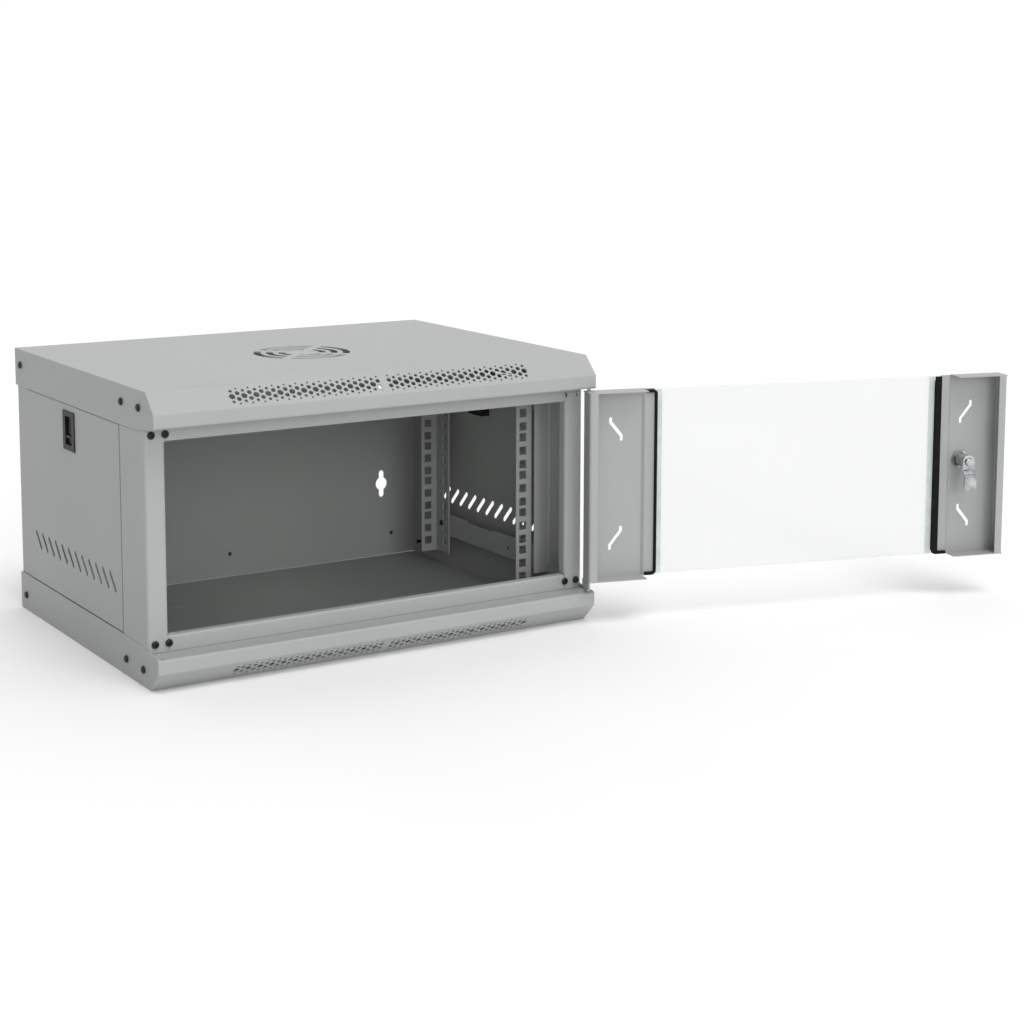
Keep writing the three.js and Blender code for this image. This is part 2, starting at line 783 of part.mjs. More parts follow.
// ---------------------------------------------------------------------------
// Door, drawn closed
// ---------------------------------------------------------------------------

// Section of a door strip, as x distances from the door edge it belongs to
function stripSolid(flat, isHinge) {
  const edge = DOOR_X[1];
  const x = (fromEdge) => edge - fromEdge;
  const inner = DOOR_Y + DOOR_DEPTH;
  const path = [
    [x(DOOR_LIP), inner],
    [x(0), inner],
    [x(0), DOOR_Y],
    [x(flat), DOOR_Y],
    [x(flat + RIM_STEP), DOOR_Y + RIM_STEP],
    [x(flat + RIM_STEP + RIM_WIDTH), DOOR_Y + RIM_STEP],
  ];
  const section = prism(sheetSection(path, DOOR_SHEET, DOOR_BEND), 'z', DOOR_Z);
  const reach = [x(flat), edge];
  const depth = [DOOR_Y, inner];
  const pieces = [
    section,
    box(reach, depth, [DOOR_Z[0], DOOR_Z[0] + DOOR_SHEET]),
    box(reach, depth, [DOOR_Z[1] - DOOR_SHEET, DOOR_Z[1]]),
  ];
  const tools = slitTools(x(isHinge ? HINGE_SLIT_INSET : LOCK_SLIT_INSET));
  if (isHinge) {
    const tab = [
      [DOOR_Y, DOOR_Z[0] + DOOR_SHEET],
      [DOOR_Y, HINGE_TAB_Z + HINGE_TAB_CHAMFER],
      [DOOR_Y + HINGE_TAB_CHAMFER, HINGE_TAB_Z],
      [inner - HINGE_TAB_CHAMFER, HINGE_TAB_Z],
      [inner, HINGE_TAB_Z + HINGE_TAB_CHAMFER],
      [inner, DOOR_Z[0] + DOOR_SHEET],
    ];
    pieces.push(prism(tab, 'x', [edge - DOOR_SHEET, edge]));
    tools.push(rod('z', HINGE_AXIS, PIN_HOLE, [DOOR_Z[0] - CUT, DOOR_Z[0] + CUT]));
    tools.push(rod('z', HINGE_AXIS, PIN_HOLE, [DOOR_Z[1] - CUT, DOOR_Z[1] + CUT]));
  } else {
    const hole = LOCK_BARREL + GAP;
    tools.push(rod('y', [x(LOCK_FROM_EDGE), LOCK_Z], hole, [DOOR_Y - CUT, DOOR_Y + CUT], 24));
  }
  return cut(joined(pieces), tools);
}

// Two bent slits above and below the strip's middle, mirrored about it
function slitTools(centreX) {
  const middle = (DOOR_Z[0] + DOOR_Z[1]) / 2;
  const tools = [];
  for (const side of [1, -1]) {
    const at = ([dx, dz]) => [centreX + dx, middle + side * (SLIT_OFFSET_Z + dz)];
    const [halfX, halfZ] = SLIT_HALF;
    const stroke = [
      [halfX, halfZ],
      [halfX, halfZ - SLIT_STRAIGHT],
      [-halfX, SLIT_STRAIGHT - halfZ],
      [-halfX, -halfZ],
    ];
    for (let i = 0; i < stroke.length - 1; i += 1) {
      const outline = stadium(at(stroke[i]), at(stroke[i + 1]), SLIT_RADIUS);
      tools.push(prism(outline, 'y', [DOOR_Y - CUT, DOOR_Y + CUT]));
    }
  }
  return tools;
}

function glassSolid() {
  const back = DOOR_Y + RIM_STEP - GAP;
  const left = DOOR_X[0] + LOCK_FLAT + RIM_STEP + 2 * GAP;
  const right = DOOR_X[1] - HINGE_FLAT - RIM_STEP - 2 * GAP;
  return box([left, right], [back - GLASS_THICKNESS, back], GLASS_Z);
}

// Edge gasket of one strip: an upright with a short leg over the rim at its lower
// end and, if asked for, at its upper end too
function gasketSolid(flat, width, hasTopLeg) {
  const rimEnd = DOOR_X[1] - flat - RIM_STEP - RIM_WIDTH;
  const inner = rimEnd - GAP;
  const outer = inner - width;
  const tip = rimEnd + GASKET_LEG[1];
  const [bottom, top] = GLASS_Z;
  const leg = GASKET_LEG[0];
  const outerTop = hasTopLeg ? [[outer, top], [tip, top]] : [[outer, top]];
  const innerTop = hasTopLeg ? [[tip, top - leg], [inner, top - leg]] : [[inner, top]];
  const outside = [[tip, bottom], [outer, bottom], ...outerTop];
  const inside = [...innerTop, [inner, bottom + leg], [tip, bottom + leg]];
  const glassFace = DOOR_Y + RIM_STEP;
  const rimFace = glassFace + DOOR_SHEET + GAP;
  const outline = [
    ...rounded(outside, () => GASKET_CORNER, 5),
    ...rounded(inside, () => GASKET_CORNER / 2, 4),
  ];
  const face = prism(outline, 'y', [rimFace, rimFace + GASKET_RISE]);
  const rootZ = [bottom + GASKET_CORNER, top - GASKET_CORNER];
  return face.add(box([outer, inner], [glassFace, rimFace + 0.5], rootZ));
}

// ---------------------------------------------------------------------------
// Cam lock
// ---------------------------------------------------------------------------

const LOCK_X = DOOR_X[0] + LOCK_FROM_EDGE;
const LOCK_AXIS = [LOCK_X, LOCK_Z];
const LOCK_END = DOOR_Y + LOCK_LENGTH;

function lockBarrelSolid() {
  const collarFront = DOOR_Y - GAP - LOCK_COLLAR[1];
  const collar = rod('y', LOCK_AXIS, LOCK_COLLAR[0], [collarFront, DOOR_Y - GAP], 24);
  const body = rod('y', LOCK_AXIS, LOCK_BARREL, [DOOR_Y - 1, LOCK_END], 24);
  const bore = rod('y', LOCK_AXIS, LOCK_PLUG + GAP, [collarFront - CUT, LOCK_END + CUT], 20);
  return cut(joined([collar, body]), [bore]);
}

function lockNutSolid() {
  const [radius, thickness] = LOCK_NUT;
  const front = DOOR_Y + DOOR_SHEET + GAP;
  const nut = rod('y', LOCK_AXIS, radius, [front, front + thickness], 6);
  const thread = [front - CUT, front + thickness + CUT];
  return cut(nut, [rod('y', LOCK_AXIS, LOCK_BARREL + GAP, thread, 24)]);
}

function lockPlugSolid() {
  const front = DOOR_Y - GAP - LOCK_COLLAR[1] + 0.5;
  const [halfWidth, halfHeight, depth] = KEYWAY;
  const plug = rod('y', LOCK_AXIS, LOCK_PLUG, [front, LOCK_END + GAP], 20);
  const keyway = box(
    centred(halfWidth, LOCK_X),
    [front - CUT, front + depth],
    centred(halfHeight, LOCK_Z),
  );
  const bore = rod('y', LOCK_AXIS, LOCK_BORE[0], [LOCK_END - LOCK_BORE[1], LOCK_END + CUT]);
  return cut(plug, [keyway, bore]);
}

// Cranked blade that hangs from the plug's end, its tip further inside the cabinet
function lockCamSolid() {
  const face = LOCK_END + 2 * GAP;
  const path = [
    [face + CAM_CRANK, LOCK_Z - CAM_REACH],
    [face + CAM_CRANK, LOCK_Z - CAM_CRANK_RUN[1]],
    [face, LOCK_Z - CAM_CRANK_RUN[0]],
    [face, LOCK_Z + CAM_WIDTH / 2],
  ];
  const half = CAM_WIDTH / 2;
  const section = sheetSection(path, CAM_SHEET, CAM_BEND);
  const blade = prism(section, 'x', centred(half, LOCK_X));
  const low = LOCK_Z - CAM_REACH + CAM_CORNER;
  const [left, right] = centred(half - CAM_CORNER, LOCK_X);
  const outline = [
    ...arc(LOCK_AXIS, half, 0, Math.PI, 10),
    ...arc([left, low], CAM_CORNER, Math.PI, 1.5 * Math.PI, 4),
    ...arc([right, low], CAM_CORNER, 1.5 * Math.PI, 2 * Math.PI, 4),
  ];
  const rim = prism(outline, 'y', [face - 2 * CUT, face + 2 * CUT]);
  const bore = rod('y', LOCK_AXIS, LOCK_BORE[0], [face - CUT, face + CUT]);
  return cut(blade.intersect(rim), [bore]);
}

function lockCamScrewSolid() {
  const face = LOCK_END + CAM_SHEET + 3 * GAP;
  const head = rod('y', LOCK_AXIS, CAM_HEAD[0], [face, face + CAM_HEAD[1]], 6);
  const end = LOCK_END - LOCK_BORE[1] + 1;
  return head.add(rod('y', LOCK_AXIS, SCREW_SHANK, [end, face + 1], 10));
}

// ---------------------------------------------------------------------------
// Fasteners and hinge pins
// ---------------------------------------------------------------------------

// Screw along +Y: its head's underside is at y = 0 and the shank runs to -y
function screwGeometry([headRadius, headHeight]) {
  const profile = [
    [0, -SCREW_LENGTH],
    [SCREW_SHANK, -SCREW_LENGTH],
    [SCREW_SHANK, 0],
    [headRadius, 0],
    [headRadius, headHeight / 2],
    [headRadius * 0.65, headHeight],
    [0, headHeight],
  ].map(([r, y]) => new THREE.Vector2(r, y));
  return geometryOf(solidOf(new THREE.LatheGeometry(profile, 12)));
}

function hingePinSolid(spans) {
  return joined(spans.map(([radius, span]) => rod('z', HINGE_AXIS, radius, span, 16)));
}

// ---------------------------------------------------------------------------
// Assembly
// ---------------------------------------------------------------------------

function addShell() {
  addPart('top_cover', coverSolid(true), 'powder_coat');
  addPart('bottom_cover', upended(geometryOf(coverSolid(false))), 'powder_coat');
  addPart('back_panel', backPanelSolid(), 'powder_coat');
}

function addFrame() {
  const lockPost = geometryOf(postSolid(true));
  const hingePost = mirrored(geometryOf(postSolid(false)));
  const rail = geometryOf(frameRailSolid());
  addPart('front_post_left', lockPost, 'powder_coat');
  addPart('front_post_right', hingePost, 'powder_coat');
  addPart('frame_rail_top', rail, 'powder_coat');
  addPart('frame_rail_bottom', upended(rail), 'powder_coat');
}

function addSides() {
  const housing = geometryOf(latchHousingSolid());
  const slider = geometryOf(latchSliderSolid());
  const spring = latchSpringGeometry();
  for (const side of ['left', 'right']) {
    const isRight = side === 'right';
    const place = (geometry) => (isRight ? mirrored(geometry) : geometry);
    const panel = geometryOf(sidePanelSolid(isRight ? -1 : 1));
    addPart(`side_panel_${side}`, place(panel), 'powder_coat');
    addPart(`latch_housing_${side}`, place(housing), 'black_plastic');
    addPart(`latch_slider_${side}`, place(slider), 'black_plastic');
    addPart(`latch_spring_${side}`, place(spring), 'spring_steel');
  }
}

function addRack() {
  const front = geometryOf(frontRackRailSolid());
  const rear = geometryOf(rearRackRailSolid());
  const lower = geometryOf(bracketSolid());
  const upper = mirrored(upended(lower));
  const sets = { rack_rail_front: front, rack_rail_rear: rear };
  sets.depth_bracket_lower = lower;
  sets.depth_bracket_upper = upper;
  for (const [name, geometry] of Object.entries(sets)) {
    addPart(`${name}_left`, geometry, 'zinc_rail');
    addPart(`${name}_right`, mirrored(geometry), 'zinc_rail');
  }
}

function addDoor() {
  const lockStrip = mirrored(geometryOf(stripSolid(LOCK_FLAT, false)));
  const lockGasket = mirrored(geometryOf(gasketSolid(LOCK_FLAT, LOCK_GASKET, false)));
  const shift = DOOR_X[0] - (WIDTH - DOOR_X[1]);
  addPart('door_hinge_strip', stripSolid(HINGE_FLAT, true), 'powder_coat', door);
  addPart('door_lock_strip', lockStrip.translate(shift, 0, 0), 'powder_coat', door);
  addPart('door_glass', glassSolid(), 'glass', door);
  addPart('door_gasket_hinge', gasketSolid(HINGE_FLAT, HINGE_GASKET, true), 'rubber', door);
  addPart('door_gasket_lock', lockGasket.translate(shift, 0, 0), 'rubber', door);
  addPart('lock_barrel', lockBarrelSolid(), 'chrome', door);
  addPart('lock_nut', lockNutSolid(), 'chrome', door);
  addPart('lock_plug', lockPlugSolid(), 'chrome', door);
  addPart('lock_cam', lockCamSolid(), 'chrome', door);
  addPart('lock_cam_screw', lockCamScrewSolid(), 'chrome', door);
}

function addHingePins() {
  const shelfTop = SHELF_Z + SHEET + GAP;
  const shelfBottom = HEIGHT - shelfTop;
  const [headRadius, headHeight] = PIN_HEAD;
  const upper = [
    [PIN_RADIUS, [DOOR_Z[1] - PIN_ENTRY, shelfTop + 1]],
    [headRadius, [shelfTop, shelfTop + headHeight]],
  ];
  const lower = [
    [PIN_RADIUS, [shelfBottom - 1, DOOR_Z[0] + PIN_ENTRY]],
    [headRadius, [shelfBottom - headHeight, shelfBottom]],
    [PIN_COLLAR, [HEIGHT - SHELF_Z + GAP, DOOR_Z[0] - GAP]],
  ];
  addPart('hinge_pin_upper', hingePinSolid(upper), 'chrome');
  addPart('hinge_pin_lower', hingePinSolid(lower), 'chrome');
}

function addScrews() {
  const screw = screwGeometry(SCREW_HEAD);
  const flatScrew = screwGeometry(FLAT_HEAD).rotateX(Math.PI);
  const ends = { top: (z) => z, bottom: (z) => HEIGHT - z };
  const sides = { left: (x) => x, right: (x) => WIDTH - x };
  const frontFacing = screw.clone().rotateX(Math.PI);
  for (const [end, height] of Object.entries(ends)) {
    for (const [side, across] of Object.entries(sides)) {
      FRONT_SCREW_X.forEach((x, i) => {
        const place = [across(x), FRAME_Y - GAP, height(FRONT_SCREW_Z)];
        const name = `front_screw_${end}_${side}_${i + 1}`;
        const isFlat = end === 'top' && side === 'right';
        const shape = (isFlat ? flatScrew : frontFacing).clone().translate(...place);
        addPart(name, shape, isFlat ? 'chrome' : 'black_steel');
      });
      const outward = side === 'left' ? 1 : -1;
      const sideFacing = screw.clone().rotateZ((outward * Math.PI) / 2);
      SIDE_SCREW_Y.forEach((y, i) => {
        const place = [across(-GAP), y, height(SIDE_SCREW_Z)];
        const name = `side_screw_${end}_${side}_${i + 1}`;
        addPart(name, sideFacing.clone().translate(...place), 'black_steel');
      });
    }
  }
}

addShell();
addFrame();
addSides();
addRack();
addDoor();
addHingePins();
addScrews();

export default group;
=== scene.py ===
"""Looks of a wall-mount network server rack cabinet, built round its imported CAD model.

Every CAD node but the latch springs is stood for by a piece of the same shape with
rounded cut edges and bends. Detail too fine for the CAD is cut or added here: the
perforated bevels, the screw recesses, the knock-outs, the small screws and the tape
on the glass.
"""

import json
import math

import bmesh
import bpy
from mathutils import Matrix, Vector


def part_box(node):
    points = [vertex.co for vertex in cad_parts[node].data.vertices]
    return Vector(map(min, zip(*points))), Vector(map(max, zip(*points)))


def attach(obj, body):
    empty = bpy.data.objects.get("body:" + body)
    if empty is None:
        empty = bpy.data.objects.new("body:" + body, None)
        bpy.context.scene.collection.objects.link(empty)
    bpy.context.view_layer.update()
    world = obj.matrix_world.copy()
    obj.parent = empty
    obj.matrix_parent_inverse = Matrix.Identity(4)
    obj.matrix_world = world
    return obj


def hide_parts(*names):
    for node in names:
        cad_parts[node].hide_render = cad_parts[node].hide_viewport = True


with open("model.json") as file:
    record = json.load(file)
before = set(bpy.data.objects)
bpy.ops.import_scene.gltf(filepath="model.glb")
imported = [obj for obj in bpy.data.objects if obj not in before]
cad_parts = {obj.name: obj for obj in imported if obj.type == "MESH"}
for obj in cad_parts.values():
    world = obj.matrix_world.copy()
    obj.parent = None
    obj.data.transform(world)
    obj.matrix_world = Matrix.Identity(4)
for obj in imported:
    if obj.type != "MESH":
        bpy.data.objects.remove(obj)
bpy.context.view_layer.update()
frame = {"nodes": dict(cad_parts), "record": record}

MM = 0.001
X_AXIS = Vector((1, 0, 0))
Y_AXIS = Vector((0, 1, 0))

# Cabinet faces, from the frame
COVER_LOW, COVER_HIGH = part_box("top_cover")
LEFT, RIGHT = COVER_LOW.x, COVER_HIGH.x
FRONT = COVER_LOW.y
TOP = COVER_HIGH.z
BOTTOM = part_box("bottom_cover")[0].z

# Rounding of cut edges and of sharp bends. A bend lies between faces at least this wide.
EDGE_ROUND = 0.25 * MM
BEND_ROUND = 1.1 * MM
GLASS_ROUND = 0.5 * MM
SHARP = math.radians(33)
BEND_FACE = 2.6 * MM

# Screws: black pan heads, and low zinc ones where the door passes in front
PAN_RADIUS = 4.0 * MM
PAN_HEIGHT = 2.4 * MM
FLAT_RADIUS = 2.8 * MM
FLAT_HEIGHT = 1.0 * MM
FLAT_SCREWS = "front_screw_top_right"
SHANK_RADIUS = 1.9 * MM
SHANK_LENGTH = 9 * MM
RECESS_TURN = math.radians(37)

# Perforation of the sloping bevels. A row is its offset along the slope, the diameter of
# its holes and its shift in hole pitches.
BEVEL_RUN = 20.5 * MM
BEVEL_RISE = 20.8 * MM
HOLE_PITCH = 13.5 * MM
HOLE_CUT = 8 * MM
HOLES_EACH_SIDE = 13
HOLE_ROWS = [(0.0, 6.8, 0.0), (3.7, 5.2, 0.5), (6.7, 3.8, 0.0), (9.4, 2.4, 0.5)]

# Drawing measures are millimetres from the cabinet's left side, front and underside
DRAWN_ORIGIN = Vector((LEFT, FRONT, BOTTOM))
CABINET_WIDTH = (RIGHT - LEFT) / MM

# The door is drawn closed in the same measures, and swung about its hinge
DOOR_JOINT = next(
    joint for joint in frame["record"]["behaviour"]["joints"] if joint["name"] == "door_swing"
)
DOOR_OPEN = math.radians(-DOOR_JOINT["range_deg"][0])
GLASS_BACK = 3.2
TAPE_THICKNESS = 0.25
TAPE_SPANS = [(434.8, 441.6), (89.6, 96.6)]
TAPE_Z = (51.5, 265.5)

# Small domed heads: the face they sit on, where they stand on it, and radius and height
RAIL_SIDE_X = 20.5
RAIL_SCREWS_Y = {"front": 112.0, "rear": 309.0}
RAIL_SCREWS_Z = {"lower": 60.0, "upper": 246.0}
RAIL_SCREW = (3.6, 2.2)
BACK_INNER_Y = 410.5
FOOT_SCREWS_X = (37, 265, 493)
FOOT_SCREWS_Z = 30
FOOT_SCREW = (2.4, 1.2)

# Cable knock-outs in the floor: two arcs each, their start and sweep in degrees, cut
# between two radii and two heights
KNOCK_OUTS = [(159, 319), (371, 319)]
KNOCK_OUT_RADIUS = 17.0
KNOCK_OUT_INNER = 15.8
KNOCK_OUT_STARTS = (-150, 30)
KNOCK_OUT_SWEEP = 120
KNOCK_OUT_Z = (-3, 5)

# Surroundings: brightness by direction, from the dim side to the bright one
WORLD_BRIGHT_SIDE = (0.9, 0.44, 0.0)
WORLD_RAMP = {"From Min": -0.9, "From Max": 0.4, "To Min": 0.1, "To Max": 1.03}

# Lamps: direction, strength and angular width in degrees
SUNS = {
    "front_light": ((-0.1, -1.0, 0.3), 0.35, 16),
    "fill_light": ((-0.4, -1.0, 0.4), 0.8, 50),
    "top_light": ((0.0, -0.45, 1.0), 1.3, 35),
}

# Camera: place in metres, view angles in degrees and lens in millimetres
CAMERA_PLACE = (-1.0237, -2.0639, 0.6169)
CAMERA_AZIMUTH = -32.35
CAMERA_ELEVATION = 7.37
CAMERA_ROLL = 0.14
CAMERA_LENS = 71.45
CAMERA_SHIFT = -0.168

BODY_OF = {
    node: body
    for body, nodes in frame["record"]["behaviour"]["bodies"].items()
    for node in nodes
}
SLOT_OF = {part["node"]: part["material_slot"] for part in frame["record"]["subparts"]}
SCREWS = sorted(node for node in BODY_OF if "_screw_" in node)
SPRINGS = sorted(node for node in BODY_OF if node.startswith("latch_spring"))


# ---------------------------------------------------------------------------
# Materials
# ---------------------------------------------------------------------------


class Shader:
    """A node material under construction, with its coordinates in metres."""

    def __init__(self, name, **sockets):
        self.material = bpy.data.materials.new(name)
        self.material.use_nodes = True
        self.tree = self.material.node_tree
        self.surface = self.tree.nodes["Principled BSDF"]
        self.coords = self.tree.nodes.new("ShaderNodeTexCoord").outputs["Object"]
        for socket, value in sockets.items():
            self.surface.inputs[socket.replace("_", " ")].default_value = value

    def node(self, kind):
        return self.tree.nodes.new(kind)

    def link(self, source, target):
        self.tree.links.new(source, target)

    def noise(self, scale, detail=3.0, roughness=0.55):
        made = self.node("ShaderNodeTexNoise")
        made.inputs["Scale"].default_value = scale
        made.inputs["Detail"].default_value = detail
        made.inputs["Roughness"].default_value = roughness
        self.link(self.coords, made.inputs["Vector"])
        return made.outputs["Fac"]

    def ranged(self, factor, low, high, start=0.3, end=0.7):
        made = self.node("ShaderNodeMapRange")
        for socket, value in (
            ("From Min", start),
            ("From Max", end),
            ("To Min", low),
            ("To Max", high),
        ):
            made.inputs[socket].default_value = value
        self.link(factor, made.inputs["Value"])
        return made.outputs["Result"]

    def colours(self, factor, first, second):
        ramp = self.node("ShaderNodeValToRGB")
        ramp.color_ramp.elements[0].position = 0.3
        ramp.color_ramp.elements[1].position = 0.7
        ramp.color_ramp.elements[0].color = (*first, 1)
        ramp.color_ramp.elements[1].color = (*second, 1)
        self.link(factor, ramp.inputs["Fac"])
        self.link(ramp.outputs["Color"], self.surface.inputs["Base Color"])

    def roughness(self, factor, low, high):
        self.link(self.ranged(factor, low, high), self.surface.inputs["Roughness"])

    def bump(self, height, distance, strength=1.0):
        made = self.node("ShaderNodeBump")
        made.inputs["Distance"].default_value = distance
        made.inputs["Strength"].default_value = strength
        self.link(height, made.inputs["Height"])
        self.link(made.outputs["Normal"], self.surface.inputs["Normal"])


def powder_coat():
    """Light grey powder coat: fine orange peel with a faint drift of tone."""
    shader = Shader("powder_coat", Metallic=0.0, Specular_IOR_Level=0.42)
    shader.colours(shader.noise(6.0, 4.0), (0.340, 0.352, 0.343), (0.358, 0.370, 0.361))
    shader.roughness(shader.noise(420.0, 2.0), 0.44, 0.56)
    shader.bump(shader.noise(1100.0, 2.0, 0.45), 0.06 * MM, 0.5)
    return shader.material


def black_plastic():
    """Moulded latch plastic with a fine grain."""
    shader = Shader("black_plastic", Specular_IOR_Level=0.25)
    shader.colours(shader.noise(60.0), (0.005, 0.005, 0.005), (0.011, 0.011, 0.012))
    shader.roughness(shader.noise(500.0), 0.38, 0.55)
    shader.bump(shader.noise(1800.0, 2.0), 0.05 * MM, 0.6)
    return shader.material


def black_steel():
    """Black-oxide screw steel."""
    shader = Shader("black_steel", Metallic=0.0, Specular_IOR_Level=0.35)
    shader.colours(shader.noise(220.0), (0.004, 0.004, 0.004), (0.012, 0.012, 0.013))
    shader.roughness(shader.noise(700.0), 0.28, 0.45)
    shader.bump(shader.noise(1500.0), 0.03 * MM, 0.5)
    return shader.material


def rubber():
    """Dull black gasket rubber."""
    shader = Shader("rubber", Specular_IOR_Level=0.15)
    shader.colours(shader.noise(90.0), (0.003, 0.003, 0.003), (0.008, 0.008, 0.008))
    shader.roughness(shader.noise(350.0), 0.68, 0.86)
    shader.bump(shader.noise(900.0), 0.08 * MM, 0.6)
    return shader.material


def chrome():
    """Plated zinc: bright, with painted dark and light reflection streaks in its colour and
    the soft waviness of a die casting.
    """
    shader = Shader("chrome", Metallic=1.0)
    # Painted reflection: the wide dark-to-light range of the base colour stands in for dark
    # surroundings mirrored in the plating.
    shader.colours(shader.noise(90.0), (0.26, 0.27, 0.28), (0.62, 0.63, 0.64))
    shader.roughness(shader.noise(120.0), 0.12, 0.24)
    shader.bump(shader.noise(120.0, 1.0), 0.08 * MM, 0.4)
    return shader.material


def spring_steel():
    """Bare drawn wire."""
    shader = Shader("spring_steel", Metallic=1.0)
    shader.colours(shader.noise(300.0), (0.42, 0.43, 0.44), (0.58, 0.59, 0.60))
    shader.roughness(shader.noise(800.0), 0.22, 0.38)
    return shader.material


def clear_glass():
    """Flat clear pane: it lets the view through and mirrors more at a glancing angle."""
    shader = Shader("clear_glass", Roughness=0.03, Specular_IOR_Level=0.6)
    shader.colours(shader.noise(3.0), (0.50, 0.53, 0.52), (0.55, 0.58, 0.57))
    facing = shader.node("ShaderNodeLayerWeight")
    facing.inputs["Blend"].default_value = 0.2
    alpha = shader.ranged(facing.outputs["Facing"], 0.14, 0.5, 0.2, 1.0)
    shader.link(alpha, shader.surface.inputs["Alpha"])
    return shader.material


def glass_edge():
    """Ground edge of the pane, where the glass shows its green body colour."""
    shader = Shader("glass_edge", Roughness=0.25, Alpha=0.35)
    shader.colours(shader.noise(200.0), (0.62, 0.72, 0.69), (0.74, 0.82, 0.79))
    shader.bump(shader.noise(1600.0), 0.04 * MM, 0.5)
    return shader.material


def bonding_tape():
    """Pale translucent bonding tape between the pane and its steel strips."""
    shader = Shader("bonding_tape", Alpha=0.82, Specular_IOR_Level=0.35)
    shader.colours(shader.noise(70.0), (0.52, 0.60, 0.59), (0.66, 0.72, 0.71))
    shader.roughness(shader.noise(400.0), 0.4, 0.6)
    shader.bump(shader.noise(500.0), 0.05 * MM, 0.4)
    return shader.material


MATERIALS = {
    "powder_coat": powder_coat(),
    "black_plastic": black_plastic(),
    "black_steel": black_steel(),
    "rubber": rubber(),
    "chrome": chrome(),
    "spring_steel": spring_steel(),
    "glass": clear_glass(),
}
GLASS_EDGE = glass_edge()
BONDING_TAPE = bonding_tape()


# ---------------------------------------------------------------------------
# Mesh helpers
# ---------------------------------------------------------------------------


def drawn(x, y, z):
    """A place in the frame, from its drawing measures in millimetres."""
    return DRAWN_ORIGIN + Vector((x, y, z)) * MM


def new_object(name, bm, material):
    """A new object from a bmesh, which is freed."""
    mesh = bpy.data.meshes.new(name)
    bm.normal_update()
    bm.to_mesh(mesh)
    bm.free()
    mesh.materials.append(material)
    made = bpy.data.objects.new(name, mesh)
    bpy.context.scene.collection.objects.link(made)
    return made


def apply_modifiers(piece):
    """Replaces the piece's mesh by its evaluated one and drops the modifiers."""
    graph = bpy.context.evaluated_depsgraph_get()
    mesh = bpy.data.meshes.new_from_object(piece.evaluated_get(graph))
    piece.modifiers.clear()
    old = piece.data
    piece.data = mesh
    bpy.data.meshes.remove(old)


def shade(piece):
    """Smooth shading led by the large faces, with steep edges kept sharp."""
    bm = bmesh.new()
    bm.from_mesh(piece.data)
    for face in bm.faces:
        face.smooth = True
    for edge in bm.edges:
        edge.smooth = len(edge.link_faces) == 2 and edge.calc_face_angle(0) < SHARP
    bm.to_mesh(piece.data)
    bm.free()
    weighted = piece.modifiers.new("flat_faces", "WEIGHTED_NORMAL")
    weighted.mode = "FACE_AREA"
    weighted.weight = 100
    weighted.keep_sharp = True
    apply_modifiers(piece)


def face_reach(face, edge):
    """How far a face runs from one of its edges."""
    start = edge.verts[0].co
    along = (edge.verts[1].co - start).normalized()
    reach = 0.0
    for vert in face.verts:
        offset = vert.co - start
        reach = max(reach, (offset - along * offset.dot(along)).length)
    return reach


def clean_copy(node):
    """The node's CAD shape as a bmesh with its coplanar triangles joined."""
    bm = bmesh.new()
    bm.from_mesh(frame["nodes"][node].data)
    bmesh.ops.remove_doubles(bm, verts=bm.verts, dist=0.001 * MM)
    bmesh.ops.dissolve_limit(
        bm, angle_limit=math.radians(0.5), verts=bm.verts, edges=bm.edges
    )
    return bm


def refined(node, bend=BEND_ROUND, edge_round=EDGE_ROUND):
    """A piece with the node's CAD shape, its cut edges broken and its bends rounded."""
    bm = clean_copy(node)
    weights = bm.edges.layers.float.new("bevel_weight_edge")
    widest = max(bend, edge_round)
    for edge in bm.edges:
        if len(edge.link_faces) != 2 or edge.calc_face_angle(0) < SHARP:
            continue
        is_bend = edge.is_convex and all(
            face_reach(face, edge) > BEND_FACE for face in edge.link_faces
        )
        edge[weights] = (bend if is_bend else edge_round) / widest
    piece = new_object(f"{node}_visual", bm, MATERIALS[SLOT_OF[node]])
    bevel = piece.modifiers.new("rounding", "BEVEL")
    bevel.limit_method = "WEIGHT"
    bevel.width = widest
    bevel.segments = 2
    bevel.use_clamp_overlap = True
    apply_modifiers(piece)
    shade(piece)
    adopt(piece, node)
    return piece


def adopt(piece, node):
    """The piece stands for the CAD node: it joins the node's body, and the node is hidden."""
    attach(piece, BODY_OF[node])
    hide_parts(node)


def trim(piece, body):
    """A small visual piece with no CAD node of its own."""
    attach(piece, body)


def subtract(piece, cutter):
    """Cuts the cutter's volume out of the piece."""
    boolean = piece.modifiers.new("cut", "BOOLEAN")
    boolean.operation = "DIFFERENCE"
    boolean.solver = "EXACT"
    boolean.object = cutter
    apply_modifiers(piece)
    bpy.data.objects.remove(cutter)


def add_cylinder(bm, centre, axis, radius, depth, segments):
    """A closed cylinder in the bmesh, centred on a point."""
    bmesh.ops.create_cone(
        bm,
        cap_ends=True,
        segments=segments,
        radius1=radius,
        radius2=radius,
        depth=depth,
        matrix=aimed(centre, axis),
    )


def add_column(bm, ring, bottom, top):
    """A closed upright prism over a drawn outline."""
    low = [bm.verts.new(drawn(x, y, bottom)) for x, y in ring]
    high = [bm.verts.new(drawn(x, y, top)) for x, y in ring]
    for k in range(len(ring)):
        after = (k + 1) % len(ring)
        bm.faces.new((low[k], low[after], high[after], high[k]))
    bm.faces.new(reversed(low))
    bm.faces.new(high)


def lathe(profile, steps):
    """A bmesh turned about Z from a profile of radii and heights."""
    bm = bmesh.new()
    verts = [bm.verts.new((radius, 0, height)) for radius, height in profile]
    for first, second in zip(verts, verts[1:]):
        bm.edges.new((first, second))
    bmesh.ops.spin(
        bm,
        geom=bm.verts[:] + bm.edges[:],
        cent=(0, 0, 0),
        axis=(0, 0, 1),
        angle=2 * math.pi,
        steps=steps,
        use_merge=True,
    )
    bmesh.ops.remove_doubles(bm, verts=bm.verts, dist=0.01 * MM)
    return bm


